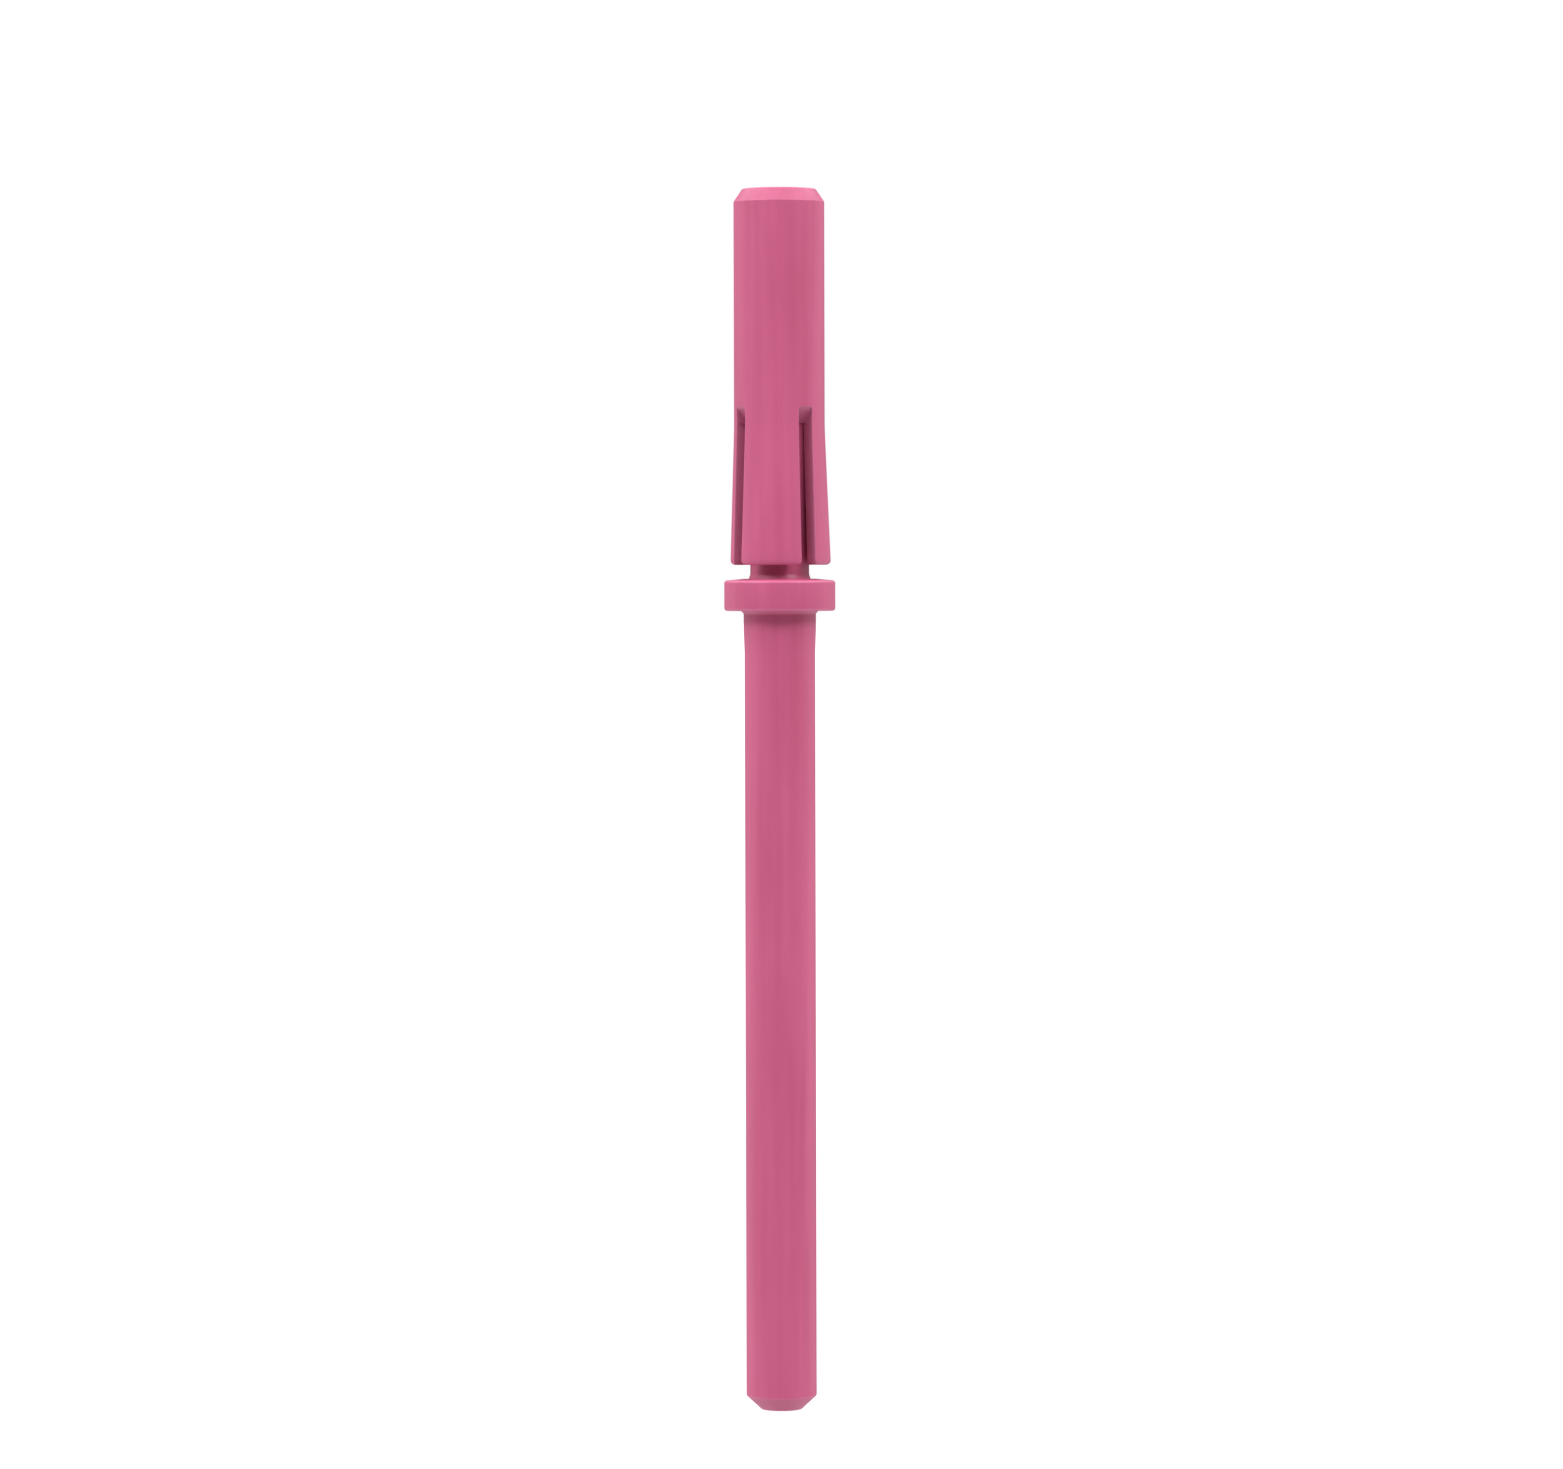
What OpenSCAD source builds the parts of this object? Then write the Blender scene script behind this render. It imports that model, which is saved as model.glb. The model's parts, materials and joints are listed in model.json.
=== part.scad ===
// Split mandrel for slip-on abrasive bands.
// A shank carries a stop collar and, on a thin spindle, a sleeve. The sleeve's lower end is
// slotted into four spring fingers that lean outwards and grip the inside of a band.
// Millimetres. +Z is the spin axis, and the origin is the centre of the shank's end face.

/* [Shank] */
// Diameter that the handpiece's collet grips
shank_d = 2.35; // [2.3:0.01:2.4]
// Length from the end face to the collar
shank_len = 26.66; // [20:0.02:32]
// Height of the bevel round the end face
bevel_h = 0.46; // [0.2:0.01:0.7]
// How far that bevel steps in
bevel_in = 0.5; // [0.2:0.02:0.7]
// Diameter of the spindle that runs up through the sleeve
spindle_d = 1.96; // [1.8:0.02:2]
// How far the coating that has gathered under the collar stands out
coat_build = 0.03; // [0.01:0.01:0.05]

/* [Collar] */
// Diameter of the stop collar
collar_d = 3.7; // [3.5:0.05:4.5]
// Thickness of the stop collar
collar_h = 1.07; // [0.8:0.01:1.5]
// Radius that rounds the collar's two rims
collar_round = 0.1; // [0.05:0.01:0.2]

/* [Sleeve] */
// Diameter of the plain crown, which a band slides over
crown_d = 3.02; // [2.9:0.01:3.1]
// Length of the sleeve, from the fingertips to the top face
sleeve_len = 12.5; // [11:0.02:14]
// Gap between the collar and the fingertips
tip_gap = 0.46; // [0.3:0.02:0.8]
// Height of the chamfer round the top
lead_h = 0.43; // [0.2:0.01:0.8]
// How far that chamfer steps in
lead_in = 0.29; // [0.1:0.01:0.35]

/* [Slots and fingers] */
// Length of the slots on the outside, from the fingertips up
slot_len = 5.25; // [4:0.05:6]
// Height of the ramp that the saw leaves at the closed end of a slot
run_out_h = 0.55; // [0.4:0.05:1]
// Diameter of the saw that cuts the slots
saw_d = 20; // [12:1:30]
// Width of a slot, which is the saw's thickness
slot_w = 0.54; // [0.3:0.01:0.6]
// Direction of the first slot, in degrees from the front (-Y) towards +X
slot_azimuth = 36; // [0:0.5:80]
// Angle between the two saw cuts; each cut makes a slot on both sides of the sleeve
cut_angle = 96; // [84:0.5:96]
// Outward lean of the front, right, back and left finger, in degrees
finger_lean = [1.9, 2.4, 1.9, 1.6]; // [0:0.1:2.6]
// Diameter of the bore that leaves the fingers room to close
relief_d = 2.04; // [2.02:0.02:2.3]
// Radius round the outer edge of the fingertips
tip_round = 0.16; // [0.05:0.01:0.2]

/* [Hidden] */

$fn = 96;
PINK = "#cc618a";
PINK_LIGHT = "#d4709a";
PINK_DEEP = "#c0587e";

edge = 0.05;                            // bevel where the spindle's end meets the crown
coat_h = 0.6;                           // full height of the coating's band under the collar
coat_fade_h = 0.8;                      // length over which that band thins out
margin = 1;                             // how far a cutter runs past what it cuts

shank_r = shank_d / 2;
spindle_r = spindle_d / 2;
crown_r = crown_d / 2;
relief_r = relief_d / 2;
saw_r = saw_d / 2;

collar_z = shank_len;                   // underside of the collar
tip_z = collar_z + collar_h + tip_gap;  // fingertips
slot_z = tip_z + slot_len;              // closed end of the slots
root_z = slot_z - run_out_h;            // where a slot breaks through, and a finger springs
top_z = tip_z + sleeve_len;             // top face
front_azimuth = slot_azimuth - cut_angle / 2;

// How far a leaning finger stands out at height z
function stand_out(z, lean) = (root_z - z) * tan(lean);

// Points on an arc about [cx, cy], from angle a0 to angle a1
function arc(cx, cy, r, a0, a1, steps = 6) =
    [for (i = [0 : steps]) let (a = a0 + (a1 - a0) * i / steps) [cx + r * cos(a), cy + r * sin(a)]];

// Plain shank with a bevelled end, and the spindle that the collar and the sleeve are pressed on
module shank() {
    color(PINK)
        rotate_extrude()
            polygon([
                [0, 0],
                [shank_r - bevel_in, 0],
                [shank_r, bevel_h],
                [shank_r, collar_z - coat_h - coat_fade_h],
                [shank_r + coat_build, collar_z - coat_h],
                [shank_r + coat_build, collar_z],
                [spindle_r, collar_z],
                [spindle_r, top_z - edge],
                [spindle_r - edge, top_z],
                [0, top_z]
            ]);
}

// Ring against the shank's shoulder, which stops a band from sliding down
module stop_collar() {
    rim = collar_d / 2 - collar_round;
    color(PINK_LIGHT)
        translate([0, 0, collar_z])
            rotate_extrude()
                polygon(concat(
                    [[spindle_r, 0]],
                    arc(rim, collar_round, collar_round, -90, 0),
                    arc(rim, collar_h - collar_round, collar_round, 0, 90),
                    [[spindle_r, collar_h]]
                ));
}

// Saw that leaves a slot's ramp: its rim passes through the crown's surface at slot_z and
// through the relief bore's surface at root_z
module saw(azimuth) {
    chord = norm([crown_r - relief_r, run_out_h]);
    reach = sqrt(saw_r * saw_r - chord * chord / 4);
    centre_r = (crown_r + relief_r) / 2 + reach * run_out_h / chord;
    centre_z = (slot_z + root_z) / 2 - reach * (crown_r - relief_r) / chord;
    rotate([0, 0, azimuth])
        translate([0, -centre_r, centre_z])
            rotate([0, 90, 0])
                cylinder(r = saw_r, h = slot_w, center = true, $fn = 240);
}

// Blade that parts two fingers, from the axis outwards
module slot(azimuth) {
    rotate([0, 0, azimuth])
        translate([-slot_w / 2, -collar_d, tip_z - margin])
            cube([slot_w, collar_d, root_z - tip_z + 2 * margin]);
}

// Solid upper part of the sleeve, pressed on the spindle, with the slots' closed ends
module sleeve_crown() {
    color(PINK_DEEP)
        difference() {
            rotate_extrude()
                polygon([
                    [spindle_r, root_z],
                    [crown_r, root_z],
                    [crown_r, top_z - lead_h],
                    [crown_r - lead_in, top_z],
                    [spindle_r + edge, top_z],
                    [spindle_r, top_z - edge]
                ]);
            for (cut = [0, cut_angle], side = [0, 180])
                saw(slot_azimuth - cut + side);
        }
}

// One leaning finger of the lower sleeve, between two slots; the fingers are numbered
// round the sleeve from the front towards +X
module spring_finger(number) {
    azimuth = front_azimuth + 90 * number;
    half_span = (number % 2 == 0 ? cut_angle : 180 - cut_angle) / 2;
    lean = finger_lean[number];
    tip_r = crown_r + stand_out(tip_z + tip_round, lean);
    wedge = 2 * collar_d * [sin(half_span), -cos(half_span)];
    color(PINK)
        difference() {
            intersection() {
                rotate_extrude()
                    polygon(concat(
                        [[relief_r + stand_out(tip_z, lean), tip_z]],
                        arc(tip_r - tip_round, tip_z + tip_round, tip_round, -90, 0),
                        [[crown_r, root_z], [relief_r, root_z]]
                    ));
                rotate([0, 0, azimuth])
                    translate([0, 0, tip_z - margin])
                        linear_extrude(slot_len + 2 * margin)
                            polygon([[0, 0], wedge, [-wedge.x, wedge.y]]);
            }
            slot(azimuth - half_span);
            slot(azimuth + half_span);
        }
}

shank();
stop_collar();
sleeve_crown();
spring_finger(0);  // finger_front
spring_finger(1);  // finger_right
spring_finger(2);  // finger_back
spring_finger(3);  // finger_left
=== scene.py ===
"""Looks of a split mandrel: a coated shank, its stop collar, and a sleeve with four spring fingers."""
import json
import math

import bmesh
import bpy
import numpy as np
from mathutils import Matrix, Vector


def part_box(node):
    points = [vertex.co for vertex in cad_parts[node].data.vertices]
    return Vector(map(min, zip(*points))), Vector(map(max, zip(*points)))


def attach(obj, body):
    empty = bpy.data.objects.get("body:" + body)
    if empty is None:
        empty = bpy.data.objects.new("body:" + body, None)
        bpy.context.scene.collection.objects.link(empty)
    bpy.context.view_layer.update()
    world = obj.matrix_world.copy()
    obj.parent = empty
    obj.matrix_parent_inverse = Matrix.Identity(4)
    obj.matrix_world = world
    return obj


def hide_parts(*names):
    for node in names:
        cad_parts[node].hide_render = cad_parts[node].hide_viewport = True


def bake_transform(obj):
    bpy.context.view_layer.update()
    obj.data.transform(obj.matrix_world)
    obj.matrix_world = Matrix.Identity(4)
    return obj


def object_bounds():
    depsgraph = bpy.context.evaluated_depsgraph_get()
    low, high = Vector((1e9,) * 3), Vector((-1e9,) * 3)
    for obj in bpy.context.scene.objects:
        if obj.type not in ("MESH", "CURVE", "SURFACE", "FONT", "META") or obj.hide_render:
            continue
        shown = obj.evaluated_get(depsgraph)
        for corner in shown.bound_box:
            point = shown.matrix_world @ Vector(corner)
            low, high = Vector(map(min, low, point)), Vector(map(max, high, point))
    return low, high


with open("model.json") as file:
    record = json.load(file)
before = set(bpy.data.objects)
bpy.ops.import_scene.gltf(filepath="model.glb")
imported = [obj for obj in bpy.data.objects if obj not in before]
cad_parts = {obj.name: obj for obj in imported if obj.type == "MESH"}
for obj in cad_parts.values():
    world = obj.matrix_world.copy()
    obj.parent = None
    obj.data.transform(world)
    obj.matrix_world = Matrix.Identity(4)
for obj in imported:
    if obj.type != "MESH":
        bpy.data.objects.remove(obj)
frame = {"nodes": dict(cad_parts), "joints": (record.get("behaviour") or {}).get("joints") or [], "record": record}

cad_low, cad_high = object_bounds()

MM = 0.001

# ---------------------------------------------------------------- sizes that the frame gives

mounts = {m["name"]: m for m in frame["record"]["mounts"]}


def mount_span(name):
    """(radius, lowest z, highest z) of a pin mount that stands along Z, in metres."""
    mount = mounts[name]
    half = mount["dims"]["length_mm"] * MM / 2
    z = mount["pos_m"][2]
    return mount["dims"]["r_mm"] * MM, z - half, z + half


def inner_radius(node):
    """Radius of the bore of a CAD node, from its mesh."""
    return min(math.hypot(v.co.x, v.co.y) for v in frame["nodes"][node].data.vertices)


SHANK_R, BEVEL_Z, COAT_LOW = mount_span("shank")
CROWN_R, SLOT_Z, LEAD_Z = mount_span("band_seat")
COLLAR_LOW, COLLAR_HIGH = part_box("stop_collar")
CROWN_LOW, CROWN_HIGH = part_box("sleeve_crown")
SHANK_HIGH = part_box("shank")[1]
TIP_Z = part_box("finger_front")[0].z
ROOT_Z = CROWN_LOW.z
TOP_Z = CROWN_HIGH.z
COLLAR_R = COLLAR_HIGH.x
SPINDLE_R = inner_radius("stop_collar")
RELIEF_R = inner_radius("finger_front")

# ---------------------------------------------------------------- details that only the looks need

SLOT_CORNER = 0.10 * MM          # how the coating rounds the closed end
SLOT_LIP = 0.05 * MM             # rounding of the slots' outer edges
SLOT_FOOT = 0.05 * MM            # coating gathered along the bottom of a slot
BORE_LIP = 0.03 * MM             # rounding of a finger's inner edges
SAW_R = 10 * MM                  # radius of the saw that cut the slots
RUN_OUT_SOFT = 0.03 * MM         # how softly the ramp fades into the crown
BEND_SOFT = 0.25 * MM            # how softly a finger starts to lean
TIP_ROUND = 0.16 * MM            # rounding of a fingertip's outer edge
TIP_SIDE = 0.06 * MM             # how far a fingertip's sides and inside draw in
LEAD_IN = 0.29 * MM              # how far the chamfer round the top steps in
COAT_BUILD = SHANK_HIGH.x - SHANK_R
COAT_FADE = 0.8 * MM             # length over which the coating under the collar thickens
COAT_SOFT = 0.5 * MM             # rounding at both ends of that stretch
NECK_SOFT = 0.1 * MM             # rounding where it runs into the fillet under the collar
RIM_ROUND = 0.10 * MM            # rounding of the collar's rims
RIM_FALL = 0.06 * MM             # how far the collar's top face falls towards its rim
RIM_SOFT = 0.3 * MM              # rounding where that fall starts
EDGE_ROUND = 0.09 * MM           # rounding of the chamfers' edges
END_ROUND = 0.04 * MM            # rounding round the shank's end face
JOINT_GROOVE = 0.05 * MM         # bevel where the spindle's end meets the crown
GROOVE_ROUND = 0.02 * MM         # rounding of that bevel's edges
FOOT_FILLET = 0.05 * MM          # coating gathered where the spindle leaves the collar
FOOT_SOFT = 0.2 * MM             # rounding at the top of that coating
COLLAR_FILLET = 0.09 * MM        # and in the corner under the collar
SLOT_MARGIN = 0.3 * MM           # plain crown above the slots that is built with their rows
SAME_PLACE = 1e-8                # vertices closer than this become one
FLAT = 1e-6                      # vertices within this of a height lie on it
SEGMENTS = 192                   # faces round a turned piece
CROWN_ROWS, FINGER_ROWS, TIP_ROWS = 44, 30, 8
SHARP = math.radians(50)         # faces that meet at more than this keep a crisp edge
CRISP = math.sin(math.radians(30))   # a corner that turns less than this gets less painted highlight on its edge

END_R = max(math.hypot(v.co.x, v.co.y) for v in frame["nodes"]["shank"].data.vertices if v.co.z < FLAT)

# ---------------------------------------------------------------- mesh helpers


def new_piece(name, verts, faces, marks, fills=()):
    """A smooth mesh. A vertex's marks say how far it is on a rounded edge, where the coating gets a painted
    highlight, and on a sawn face, where it gets painted reflected light. fills are loops of vertex numbers to
    close with flat triangles; all loops of one fill lie in one plane. Nothing here tests whether a fill is
    complete, and the crown's is not (see make_crown)."""
    mesh = bpy.data.meshes.new(name)
    mesh.from_pydata([tuple(v) for v in verts], [], faces)
    # edge carries the painted highlight on rounded edges, sawn the painted reflected light on sawn faces
    for attribute, values in zip(("edge", "sawn"), zip(*marks)):
        mesh.attributes.new(attribute, "FLOAT", "POINT").data.foreach_set("value", values)
    bm = bmesh.new()
    bm.from_mesh(mesh)
    bm.verts.ensure_lookup_table()
    for loops in fills:
        rims = []
        for loop in loops:
            for a, b in zip(loop, loop[1:] + loop[:1]):
                rims.append(bm.edges.get((bm.verts[a], bm.verts[b])))
        bmesh.ops.triangle_fill(bm, use_beauty=True, edges=[e for e in rims if e])
    bmesh.ops.remove_doubles(bm, verts=bm.verts, dist=SAME_PLACE)
    bmesh.ops.dissolve_degenerate(bm, edges=bm.edges, dist=SAME_PLACE)
    bmesh.ops.recalc_face_normals(bm, faces=bm.faces)
    for bend in bm.edges:
        if bend.is_manifold and bend.calc_face_angle() > SHARP:
            bend.smooth = False
    bm.to_mesh(mesh)
    bm.free()
    for polygon in mesh.polygons:
        polygon.use_smooth = True
    piece = bpy.data.objects.new(name, mesh)
    bpy.context.scene.collection.objects.link(piece)
    weighted = piece.modifiers.new("even_shading", "WEIGHTED_NORMAL")
    weighted.keep_sharp = True
    return piece


def rounded(corners, steps=6):
    """Turns corners (r, z, rounding) into outline points with arcs, and a mark for the painted edge
    highlight that is 1 on the arc of a crisp outer corner and 0 on a faint or an inner one."""
    points, marks = [], []
    for i, (r, z, radius) in enumerate(corners):
        here = Vector((r, z))
        if radius <= 0 or i in (0, len(corners) - 1):
            points.append(here)
            marks.append(0.0)
            continue
        back = (Vector(corners[i - 1][:2]) - here).normalized()
        ahead = (Vector(corners[i + 1][:2]) - here).normalized()
        half = back.angle(ahead) / 2
        centre = here + (back + ahead).normalized() * radius / math.sin(half)
        start = here + back * radius / math.tan(half) - centre
        stop = here + ahead * radius / math.tan(half) - centre
        turn = start.angle_signed(stop)
        crispness = min(1.0, max(0.0, ahead.cross(back)) / CRISP)
        for k in range(steps + 1):
            angle = -turn * k / steps
            c, s = math.cos(angle), math.sin(angle)
            points.append(centre + Vector((start.x * c - start.y * s, start.x * s + start.y * c)))
            marks.append(crispness * math.sin(math.pi * k / steps))
    return points, marks


def lathe(name, corners, closed):
    """A turned piece: the outline goes round Z. closed joins its last point to its first; an open
    outline starts and ends on the axis."""
    outline, edge = rounded(corners)
    rings, verts, marks = [], [], []
    for point, mark in zip(outline, edge):
        if point.x < 1e-9:
            rings.append([len(verts)])
            verts.append((0, 0, point.y))
            marks.append((mark, 0.0))
            continue
        rings.append(list(range(len(verts), len(verts) + SEGMENTS)))
        for k in range(SEGMENTS):
            angle = 2 * math.pi * k / SEGMENTS
            verts.append((point.x * math.cos(angle), point.x * math.sin(angle), point.y))
            marks.append((mark, 0.0))
    faces = []
    pairs = list(zip(rings, rings[1:])) + ([(rings[-1], rings[0])] if closed else [])
    for low, high in pairs:
        for k in range(SEGMENTS):
            n = (k + 1) % SEGMENTS
            if len(low) == 1:
                faces.append((low[0], high[k], high[n]))
            elif len(high) == 1:
                faces.append((low[k], low[n], high[0]))
            else:
                faces.append((low[k], low[n], high[n], high[k]))
    return new_piece(name, verts, faces, marks)


def bezier(p0, p1, p2, steps):
    """Points on a quadratic curve, without the first one."""
    p0, p1, p2 = np.array(p0), np.array(p1), np.array(p2)
    return [p0 * (1 - t) ** 2 + p1 * 2 * t * (1 - t) + p2 * t * t
            for t in (k / steps for k in range(1, steps + 1))]


# ---------------------------------------------------------------- the sleeve's cross-section

ARC_STEPS, LIP_STEPS, FOOT_STEPS, FLOOR_STEPS = 88, 5, 4, 4
# across a lip: the painted highlight, then the painted reflected light fading in towards the wall
LIP_MARKS = [(math.sin(math.pi * k / LIP_STEPS), k / LIP_STEPS) for k in range(LIP_STEPS + 1)]


def place(azimuth, across, out):
    """A point that lies out along the direction at azimuth and across it. Azimuth 0 is -Y and grows
    towards +X."""
    s, c = math.sin(azimuth), math.cos(azimuth)
    return out * s + across * c, -out * c + across * s


def lip(radius, half, size, depth):
    """One outer edge of a slot, (across, out) points from the round surface down to the wall."""
    across = half + size
    out = math.sqrt(radius ** 2 - across ** 2)
    corner = (half, out + size * across / out)
    start = (across, out)
    return [np.array(start)] + bezier(start, corner, (half, corner[1] - min(size, depth)), LIP_STEPS)


def saw_rim(z):
    """How far from the axis the saw's rim was at height z, on its way out to the surface."""
    dr, dz = CROWN_R - RELIEF_R, SLOT_Z - ROOT_Z
    chord = math.hypot(dr, dz)
    reach = math.sqrt(SAW_R ** 2 - chord ** 2 / 4)
    centre_r = (CROWN_R + RELIEF_R) / 2 + reach * dz / chord
    centre_z = (SLOT_Z + ROOT_Z) / 2 - reach * dr / chord
    return centre_r - math.sqrt(SAW_R ** 2 - (z - centre_z) ** 2)


def ramp_depth(z):
    """Depth of a slot below the crown's surface at height z, fading out softly at its end."""
    depth = CROWN_R - saw_rim(z)
    if depth > RUN_OUT_SOFT:
        return depth
    if depth < -RUN_OUT_SOFT:
        return 0.0
    return (depth + RUN_OUT_SOFT) ** 2 / (4 * RUN_OUT_SOFT)


def closed_half(z):
    """Half of a slot's width near its closed end, whose corners are rounded."""
    above = min(max(0.0, z - (SLOT_Z - SLOT_CORNER)), SLOT_CORNER)
    return SLOT_HALF - SLOT_CORNER + math.sqrt(SLOT_CORNER ** 2 - above ** 2)


def notch(z):
    """Half of a slot's section in the crown, from the lip to the middle of its floor."""
    half, depth = closed_half(z), ramp_depth(z)

    def surface(across):
        return math.sqrt(CROWN_R ** 2 - across ** 2)

    floor = CROWN_R - depth
    share = min(1.0, max(0.0, surface(half) - floor) / (SLOT_LIP + SLOT_FOOT))
    points = lip(CROWN_R, half, SLOT_LIP, SLOT_LIP * share)
    foot_top = (half, floor + SLOT_FOOT * share)
    inner = half - SLOT_FOOT
    points.append(np.array(foot_top))
    points += bezier(foot_top, (half, floor), (inner, floor), FOOT_STEPS)
    points += [np.array((inner * (1 - k / FLOOR_STEPS), floor)) for k in range(1, FLOOR_STEPS + 1)]
    opened = min(1.0, 4 * depth / SLOT_LIP)
    marks = LIP_MARKS + [(0.0, 1.0)] + [(0.0, 0.4)] * (len(points) - len(LIP_MARKS) - 1)
    marks = [(edge * opened, sawn * opened) for edge, sawn in marks]
    points = [(across, surface(across) + opened * (out - surface(across))) for across, out in points]
    return marks, points


def arc_between(radius, start, stop, steps):
    """Points of a circle between two azimuths, without its ends."""
    return [place(start + (stop - start) * k / steps, 0, radius) for k in range(1, steps)]


QUARTER = math.pi / 2


class Finger:
    """Where a CAD finger stands (azimuth), how wide it is (half_span) and how far it leans (slope)."""

    def __init__(self, joint):
        self.body = joint["child"]
        x, y, _ = joint["pos_m"]
        self.azimuth = math.atan2(x, -y)
        points = [v.co for v in frame["nodes"][self.body].data.vertices]
        s, c = math.sin(self.azimuth), math.cos(self.azimuth)
        root = [(p.x * c + p.y * s, p.x * s - p.y * c) for p in points if p.z > ROOT_Z - FLAT]
        outer = max(root, key=lambda p: math.hypot(*p) + p[0])
        inner = max(root, key=lambda p: p[0] - 2 * math.hypot(*p))
        wall = Vector(outer) - Vector(inner)
        self.half_span = math.atan2(wall.x, wall.y)
        self.slot_half = abs(Vector(outer).cross(wall.normalized()))
        widest = max(points, key=lambda p: math.hypot(p.x, p.y))
        self.slope = (math.hypot(widest.x, widest.y) - CROWN_R) / (ROOT_Z - widest.z)

    def stand_out(self, z):
        """How far it stands out at height z, after a soft start at the root."""
        below, length = ROOT_Z - z, ROOT_Z - TIP_Z
        return self.slope * below ** 2 / (below + BEND_SOFT) * (length + BEND_SOFT) / length


fingers = [Finger(joint) for joint in frame["joints"]]
fingers.sort(key=lambda finger: finger.azimuth % (2 * math.pi))
SLOT_HALF = fingers[0].slot_half

# ---------------------------------------------------------------- the pieces


def make_shank():
    """Shank, shoulder and spindle, turned from one bar."""
    return lathe("coated_shank", [
        (0, 0, 0),
        (END_R, 0, END_ROUND),
        (SHANK_R, BEVEL_Z, EDGE_ROUND),
        (SHANK_R, COAT_LOW, COAT_SOFT),
        (SHANK_R + COAT_BUILD, COAT_LOW + COAT_FADE, COAT_SOFT),
        (SHANK_R + COAT_BUILD, COLLAR_LOW.z - COLLAR_FILLET, NECK_SOFT),
        (SHANK_R + COAT_BUILD + COLLAR_FILLET, COLLAR_LOW.z, 0),
        (SPINDLE_R, COLLAR_LOW.z, 0),
        (SPINDLE_R, COLLAR_HIGH.z, 0),
        (SPINDLE_R + FOOT_FILLET, COLLAR_HIGH.z, 0),
        (SPINDLE_R, COLLAR_HIGH.z + 3 * FOOT_FILLET, FOOT_SOFT),
        (SPINDLE_R, TOP_Z - JOINT_GROOVE, GROOVE_ROUND),
        (SPINDLE_R - JOINT_GROOVE, TOP_Z, GROOVE_ROUND),
        (0, TOP_Z, 0),
    ], closed=False)


def make_collar():
    """Ring with rounded rims."""
    return lathe("coated_collar", [
        (SPINDLE_R, COLLAR_LOW.z, 0),
        (COLLAR_R, COLLAR_LOW.z, RIM_ROUND),
        (COLLAR_R, COLLAR_HIGH.z - RIM_FALL, RIM_ROUND),
        (SHANK_R, COLLAR_HIGH.z, RIM_SOFT),
        (SPINDLE_R, COLLAR_HIGH.z, 0),
    ], closed=True)


def crown_row(z):
    """The crown's outline at height z, once round, with its edge marks."""
    points, marks = [], []
    half_marks, half_section = notch(z)
    offset = math.asin((closed_half(z) + SLOT_LIP) / CROWN_R)
    for finger in fingers:
        start, stop = finger.azimuth - finger.half_span, finger.azimuth + finger.half_span
        for (across, out), mark in zip(half_section[::-1], half_marks[::-1]):
            points.append(place(start, across, out))
            marks.append(mark)
        arc = arc_between(CROWN_R, start + offset, stop - offset, ARC_STEPS)
        points += arc
        marks += [(0.0, 0.0)] * len(arc)
        for (across, out), mark in zip(half_section[:-1], half_marks[:-1]):
            points.append(place(stop, -across, out))
            marks.append(mark)
    return points, marks


def make_crown():
    """Upper sleeve with the closed ends of the four slots.
    Known fault: the fill of its underside at ROOT_Z leaves much of it open, and a stray piece of it
    lies across a corner of the left slot. So this mesh is not closed."""
    verts, marks = [], []
    slotted_top = SLOT_Z + SLOT_MARGIN
    rows = [ROOT_Z + (slotted_top - ROOT_Z) * k / CROWN_ROWS for k in range(CROWN_ROWS + 1)]
    for z in rows:
        points, row_marks = crown_row(z)
        verts += [(x, y, z) for x, y in points]
        marks += row_marks
    columns = len(points)
    turned, turned_marks = rounded([
        (CROWN_R, slotted_top, 0),
        (CROWN_R, (slotted_top + LEAD_Z) / 2, 0),
        (CROWN_R, LEAD_Z, EDGE_ROUND),
        (CROWN_R - LEAD_IN, TOP_Z, EDGE_ROUND),
        (SPINDLE_R + JOINT_GROOVE, TOP_Z, GROOVE_ROUND),
        (SPINDLE_R, TOP_Z - JOINT_GROOVE, GROOVE_ROUND),
        (SPINDLE_R, ROOT_Z, 0),
    ])
    angles = [math.atan2(y, x) for x, y in points]
    for point, mark in zip(turned[1:], turned_marks[1:]):
        verts += [(point.x * math.cos(a), point.x * math.sin(a), point.y) for a in angles]
        marks += [(mark, 0.0)] * columns
    count = len(verts) // columns
    faces = []
    for row in range(count - 1):
        for k in range(columns):
            n = (k + 1) % columns
            faces.append((row * columns + k, row * columns + n,
                          (row + 1) * columns + n, (row + 1) * columns + k))
    outside = list(range(columns))
    bore = list(range((count - 1) * columns, count * columns))
    return new_piece("coated_crown", verts, faces, marks, fills=[(outside, bore)])


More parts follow.
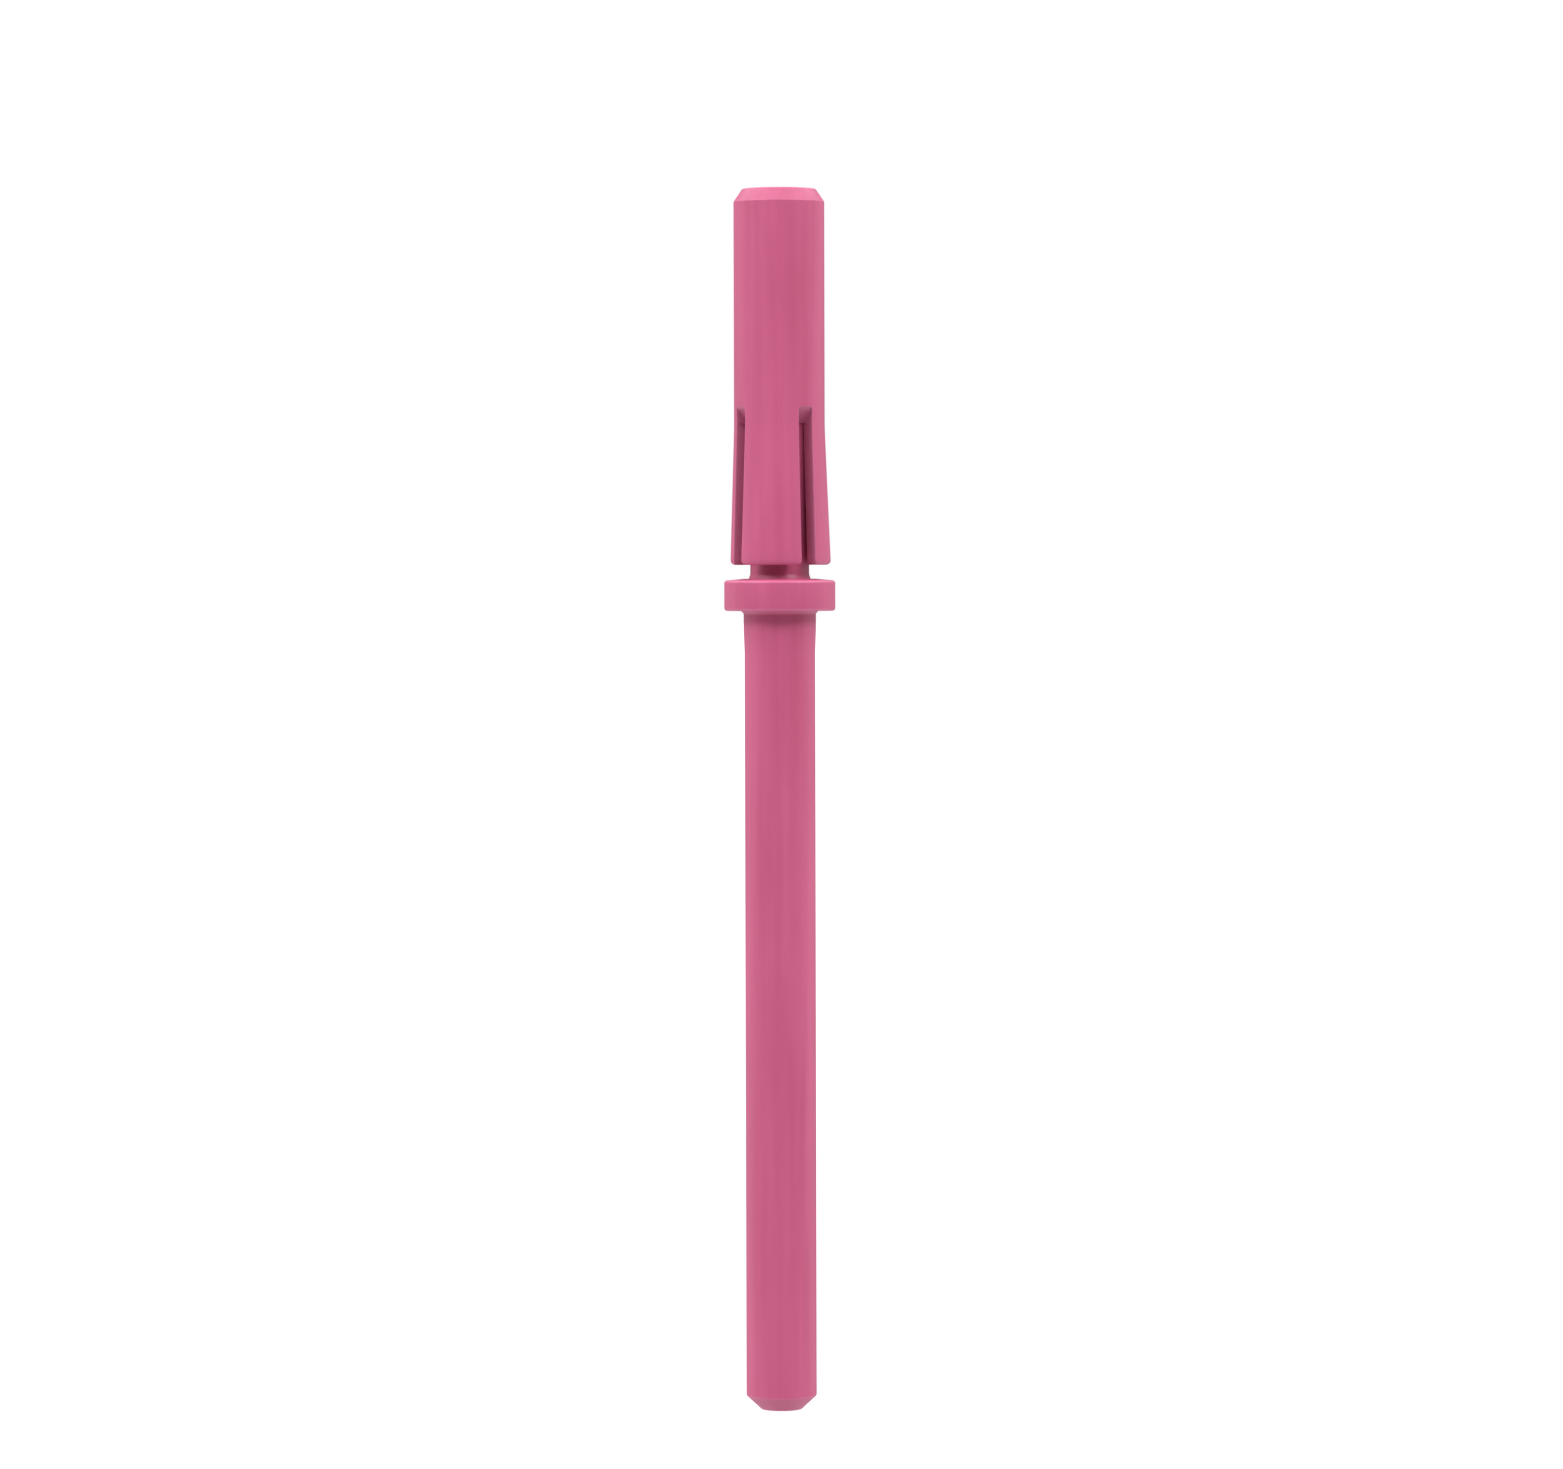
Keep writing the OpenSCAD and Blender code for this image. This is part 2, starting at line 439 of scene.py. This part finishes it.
def finger_row(finger, z, inset=0.0):
    """A finger's section at height z: outer side, then wall, then inner side, then the other wall.
    An inset from 0 to 1 draws the section in as the tip rounds off."""
    half = SLOT_HALF + TIP_SIDE * inset
    radius = CROWN_R + finger.stand_out(z) - TIP_ROUND * inset
    bore = RELIEF_R + finger.stand_out(z) + TIP_SIDE * inset
    inner_out = math.sqrt(bore ** 2 - (half + BORE_LIP) ** 2)
    wall_end = (half, inner_out + BORE_LIP)
    wall = lip(radius, half, SLOT_LIP, SLOT_LIP) + [np.array(wall_end)]
    wall += bezier(wall_end, (half, inner_out), (half + BORE_LIP, inner_out), 3)
    wall_marks = LIP_MARKS + [(0.0, 1.0)] * 4
    offset = finger.half_span - math.asin((half + SLOT_LIP) / radius)
    bore_offset = finger.half_span - math.asin((half + BORE_LIP) / bore)
    start, stop = finger.azimuth - finger.half_span, finger.azimuth + finger.half_span
    points = arc_between(radius, finger.azimuth - offset, finger.azimuth + offset, ARC_STEPS)
    points += [place(stop, -across, out) for across, out in wall]
    points += arc_between(bore, finger.azimuth + bore_offset, finger.azimuth - bore_offset, ARC_STEPS)
    points += [place(start, across, out) for across, out in wall[::-1]]
    plain, bored = [(0.0, 0.0)] * (ARC_STEPS - 1), [(0.0, 1.0)] * (ARC_STEPS - 1)
    return points, plain + wall_marks + bored + wall_marks[::-1]


def make_finger(finger):
    """One spring finger, from its root at the crown to its rounded tip."""
    verts, marks = [], []
    rows = [(ROOT_Z + (TIP_Z + TIP_ROUND - ROOT_Z) * k / FINGER_ROWS, 0.0) for k in range(FINGER_ROWS + 1)]
    turns = [QUARTER * k / TIP_ROWS for k in range(1, TIP_ROWS + 1)]
    rows += [(TIP_Z + TIP_ROUND * (1 - math.sin(turn)), 1 - math.cos(turn)) for turn in turns]
    for z, inset in rows:
        points, row_marks = finger_row(finger, z, inset)
        verts += [(x, y, z) for x, y in points]
        # the rounded tip gets the painted highlight too
        marks += [(max(edge, math.sin(math.pi * inset)), sawn) for edge, sawn in row_marks]
    columns = len(points)
    faces = []
    for row in range(len(rows) - 1):
        for k in range(columns):
            n = (k + 1) % columns
            faces.append((row * columns + k, row * columns + n,
                          (row + 1) * columns + n, (row + 1) * columns + k))
    root = list(range(columns))
    tip = list(range(len(verts) - columns, len(verts)))
    return new_piece("coated_" + finger.body, verts, faces, marks, fills=[(root,), (tip,)])


# ---------------------------------------------------------------- coating, with painted highlights and painted reflected light

DEEP = (0.480, 0.078, 0.178, 1)
PINK = (0.540, 0.095, 0.212, 1)
EDGE_HIGHLIGHT = (0.68, 0.15, 0.31, 1)            # painted highlight on a rounded edge: a paler pink
RECESS_LIGHT_PINK = (0.51, 0.145, 0.255, 1)          # painted reflected light: a greyer pink on the sawn faces inside the slots and bores
HIGHLIGHT_SHARE = 0.5                        # how much of the painted highlight an edge takes
MOTTLE_SCALE, MOTTLE_SHARE = 700.0, 0.45
STREAK_SCALE, STREAK_SHARE = 2600.0, 0.55
MOTTLE_DRAWN, STREAK_DRAWN = (1, 1, 0.3), (1, 1, 0.04)     # patterns drawn out along Z
DEEP_TONE, PINK_TONE = 0.36, 0.64       # noise values that give DEEP and PINK
PEEL_SCALE, GRAIN_SCALE, GRAIN_SHARE = 5200.0, 26000.0, 0.25
BUMP_STRENGTH, BUMP_HEIGHT = 0.5, 4e-6
ROUGH_LOW, ROUGH_HIGH = 0.40, 0.50
SEED_STEP = (0.013, 0.007)              # how far one seed's pattern is from the next one's


def node(tree, kind, **settings):
    """A shader node with its settings and inputs; an input's value may be a socket to link."""
    made = tree.nodes.new(kind)
    for key, value in settings.items():
        if key.startswith("in_"):
            wanted = key[3:]
            socket = made.inputs[int(wanted) if wanted.isdigit() else wanted.replace("_", " ")]
            if isinstance(value, bpy.types.NodeSocket):
                tree.links.new(value, socket)
            else:
                socket.default_value = value
        else:
            setattr(made, key, value)
    return made


def math_node(tree, operation, a, b=0.0):
    """A Math node's result."""
    return node(tree, "ShaderNodeMath", operation=operation, in_0=a, in_1=b).outputs[0]


def noise(tree, vector, scale, detail):
    """A Noise Texture's value."""
    return node(tree, "ShaderNodeTexNoise", in_Vector=vector, in_Scale=scale, in_Detail=detail).outputs[0]


def coating(name, seed):
    """Satin pink coating sprayed on turned steel: slight mottling, a fine orange peel, faint streaks
    along the piece, a painted highlight (a paler pink) on sharp edges, and painted reflected light (a greyer pink)
    on sawn faces."""
    material = bpy.data.materials.new(name)
    material.use_nodes = True
    tree = material.node_tree
    tree.nodes.clear()
    where = node(tree, "ShaderNodeTexCoord").outputs["Object"]
    shifted = node(tree, "ShaderNodeVectorMath", operation="ADD", in_0=where,
                   in_1=(seed * SEED_STEP[0], seed * SEED_STEP[1], 0)).outputs[0]
    streaked = node(tree, "ShaderNodeVectorMath", operation="MULTIPLY", in_0=shifted,
                    in_1=STREAK_DRAWN).outputs[0]
    drawn = node(tree, "ShaderNodeVectorMath", operation="MULTIPLY", in_0=shifted,
                 in_1=MOTTLE_DRAWN).outputs[0]
    mottle = noise(tree, drawn, MOTTLE_SCALE, 3.0)
    streak = noise(tree, streaked, STREAK_SCALE, 2.0)
    tone = math_node(tree, "ADD", math_node(tree, "MULTIPLY", mottle, MOTTLE_SHARE),
                     math_node(tree, "MULTIPLY", streak, STREAK_SHARE))
    ramp = node(tree, "ShaderNodeValToRGB", in_0=tone)
    ramp.color_ramp.elements[0].position = DEEP_TONE
    ramp.color_ramp.elements[0].color = DEEP
    ramp.color_ramp.elements[1].position = PINK_TONE
    ramp.color_ramp.elements[1].color = PINK
    # painted highlight on rounded edges, then painted reflected light on sawn faces
    edge = node(tree, "ShaderNodeAttribute", attribute_name="edge").outputs["Fac"]
    highlight_amount = math_node(tree, "MULTIPLY", edge, HIGHLIGHT_SHARE)
    highlighted = node(tree, "ShaderNodeMix", data_type="RGBA", in_0=highlight_amount, in_6=ramp.outputs[0],
                in_7=EDGE_HIGHLIGHT).outputs[2]
    # painted reflected light on the sawn faces in the slots and bores
    sawn = node(tree, "ShaderNodeAttribute", attribute_name="sawn").outputs["Fac"]
    colour = node(tree, "ShaderNodeMix", data_type="RGBA", in_0=sawn, in_6=highlighted, in_7=RECESS_LIGHT_PINK).outputs[2]
    peel = noise(tree, shifted, PEEL_SCALE, 2.0)
    grain = noise(tree, shifted, GRAIN_SCALE, 2.0)
    height = math_node(tree, "ADD", peel, math_node(tree, "MULTIPLY", grain, GRAIN_SHARE))
    bump = node(tree, "ShaderNodeBump", in_Strength=BUMP_STRENGTH, in_Distance=BUMP_HEIGHT,
                in_Height=height).outputs[0]
    rough = node(tree, "ShaderNodeMapRange", in_Value=tone, in_3=ROUGH_LOW, in_4=ROUGH_HIGH).outputs[0]
    shader = node(tree, "ShaderNodeBsdfPrincipled", in_Base_Color=colour, in_Roughness=rough,
                  in_Normal=bump)
    shader.inputs["Specular IOR Level"].default_value = 0.5
    out = node(tree, "ShaderNodeOutputMaterial")
    tree.links.new(shader.outputs[0], out.inputs["Surface"])
    return material


# ---------------------------------------------------------------- the pieces, with shank, collar and crown in the shank's body

pieces = {"shank": make_shank(), "stop_collar": make_collar(), "sleeve_crown": make_crown()}
bodies = frame["record"]["behaviour"]["bodies"]
root_body = next(name for name, nodes in bodies.items() if "shank" in nodes)
shank_coat = coating("pink_coating_shank", 1)
sleeve_coat = coating("pink_coating_sleeve", 2)
for name, piece in pieces.items():
    piece.data.materials.append(sleeve_coat if name == "sleeve_crown" else shank_coat)
    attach(piece, root_body)
    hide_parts(name)
for finger in fingers:
    piece = make_finger(finger)
    piece.data.materials.append(sleeve_coat)
    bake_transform(piece)
    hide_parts(finger.body)

# ---------------------------------------------------------------- studio


def make_floor():
    """Wide white floor that the shank stands on. The tent's ground lights the object in its place."""
    mesh = bpy.data.meshes.new("floor")
    reach = 3.0
    mesh.from_pydata([(-reach, -reach, 0), (reach, -reach, 0), (reach, reach, 0), (-reach, reach, 0)],
                     [], [(0, 1, 2, 3)])
    floor = bpy.data.objects.new("floor", mesh)
    bpy.context.scene.collection.objects.link(floor)
    material = bpy.data.materials.new("white_floor")
    material.use_nodes = True
    shader = material.node_tree.nodes["Principled BSDF"]
    shader.inputs["Base Color"].default_value = (0.15, 0.15, 0.15, 1)
    shader.inputs["Roughness"].default_value = 0.9
    shader.inputs["Emission Color"].default_value = (1, 1, 1, 1)
    shader.inputs["Emission Strength"].default_value = 0.92
    mesh.materials.append(material)
    floor.location.z = cad_low.z - 0.01 * MM
    floor.visible_diffuse = floor.visible_glossy = floor.visible_shadow = False


PANELS, CEILING = 2.62, 1.95      # light from a ring of panels above the object, and from the ceiling
SIDES, GROUND = 0.26, 1.2        # light from level with the object, and from below
WINGS = 0.85                     # white reflectors to the left and the right, behind the object
FRONT_DIM, BACK_DIM = 0.3, 0.45  # share of light lost at the front and at the back
SIDE_TILT = 0.03                 # how much more light comes from the left than from the middle


def make_world():
    """White surroundings. As light they are a light tent: a bright ring of panels above, a softer
    ceiling, a white ground, dim sides, and two reflectors. All but the reflectors are dimmest at the
    front and the back."""
    world = bpy.data.worlds.new("tent")
    bpy.context.scene.world = world
    world.use_nodes = True
    tree = world.node_tree
    tree.nodes.clear()
    towards = node(tree, "ShaderNodeTexCoord").outputs["Generated"]
    xyz = node(tree, "ShaderNodeSeparateXYZ", in_0=towards)
    height = math_node(tree, "ADD", math_node(tree, "MULTIPLY", xyz.outputs[2], 0.5), 0.5)
    tent = node(tree, "ShaderNodeValToRGB", in_0=height)
    stops = tent.color_ramp.elements
    levels = [(-0.42, GROUND), (-0.26, SIDES), (0.42, SIDES), (0.50, PANELS), (0.72, PANELS),
              (0.82, CEILING)]
    while len(stops) < len(levels):
        stops.new(1.0)
    for stop, (z, level) in zip(stops, levels):
        stop.position = (z + 1) / 2
        stop.color = (level / PANELS, level / PANELS, level / PANELS, 1)
    dimmed = math_node(tree, "MAXIMUM", math_node(tree, "MULTIPLY", xyz.outputs[1], -FRONT_DIM),
                      math_node(tree, "MULTIPLY", xyz.outputs[1], BACK_DIM))
    left = math_node(tree, "MULTIPLY", xyz.outputs[0], -SIDE_TILT)
    around = math_node(tree, "SUBTRACT", math_node(tree, "ADD", left, 1.0), dimmed)
    behind = node(tree, "ShaderNodeMapRange", in_Value=xyz.outputs[1], in_1=-0.3, in_2=0.3).outputs[0]
    wings = math_node(tree, "MULTIPLY", math_node(tree, "MULTIPLY", behind, WINGS),
                      math_node(tree, "MULTIPLY", xyz.outputs[0], xyz.outputs[0]))
    panels = math_node(tree, "MULTIPLY", tent.outputs[0], PANELS)
    light = math_node(tree, "ADD", math_node(tree, "MULTIPLY", panels, around), wings)
    seen = node(tree, "ShaderNodeLightPath").outputs["Is Camera Ray"]
    strength = node(tree, "ShaderNodeMix", data_type="FLOAT", in_0=seen, in_2=light, in_3=1.0).outputs[0]
    background = node(tree, "ShaderNodeBackground", in_Color=(1, 1, 1, 1), in_Strength=strength)
    out = node(tree, "ShaderNodeOutputWorld")
    tree.links.new(background.outputs[0], out.inputs["Surface"])


def make_softbox(name, side, power):
    """Soft light above the object, side degrees to the right of the front."""
    distance, elevation, azimuth = 0.5, math.radians(36), math.radians(side)
    data = bpy.data.lights.new(name, "AREA")
    data.shape = "SQUARE"
    data.size = 0.15
    data.energy = power
    light = bpy.data.objects.new(name, data)
    bpy.context.scene.collection.objects.link(light)
    towards = Vector((math.sin(azimuth) * math.cos(elevation), -math.cos(azimuth) * math.cos(elevation),
                      math.sin(elevation)))
    light.location = Vector((0, 0, TIP_Z)) + towards * distance
    light.rotation_euler = towards.to_track_quat("Z", "Y").to_euler()


def make_camera():
    """Camera level with the upper part of the object, looking slightly down at its middle."""
    distance = 0.21
    eye_z = cad_low.z + 0.6903 * (cad_high.z - cad_low.z)
    aim_z = cad_low.z + 0.5539 * (cad_high.z - cad_low.z)
    seen_width = 52.1 * MM
    data = bpy.data.cameras.new("camera")
    camera = bpy.data.objects.new("camera", data)
    bpy.context.scene.collection.objects.link(camera)
    data.sensor_width = 36
    data.lens = data.sensor_width * math.hypot(distance, eye_z - aim_z) / seen_width
    data.clip_start, data.clip_end = 0.01, 10
    offset = 0.06 * MM
    camera.location = (offset, -distance, eye_z)
    pitch = math.atan2(aim_z - eye_z, distance)
    camera.rotation_euler = (math.pi / 2 + pitch, math.radians(0.137), 0)
    bpy.context.scene.camera = camera


make_floor()
make_world()
make_softbox("softbox_left", -52, 0.74)
make_softbox("softbox_right", 52, 0.68)
make_camera()
bpy.context.scene.view_settings.view_transform = "Standard"
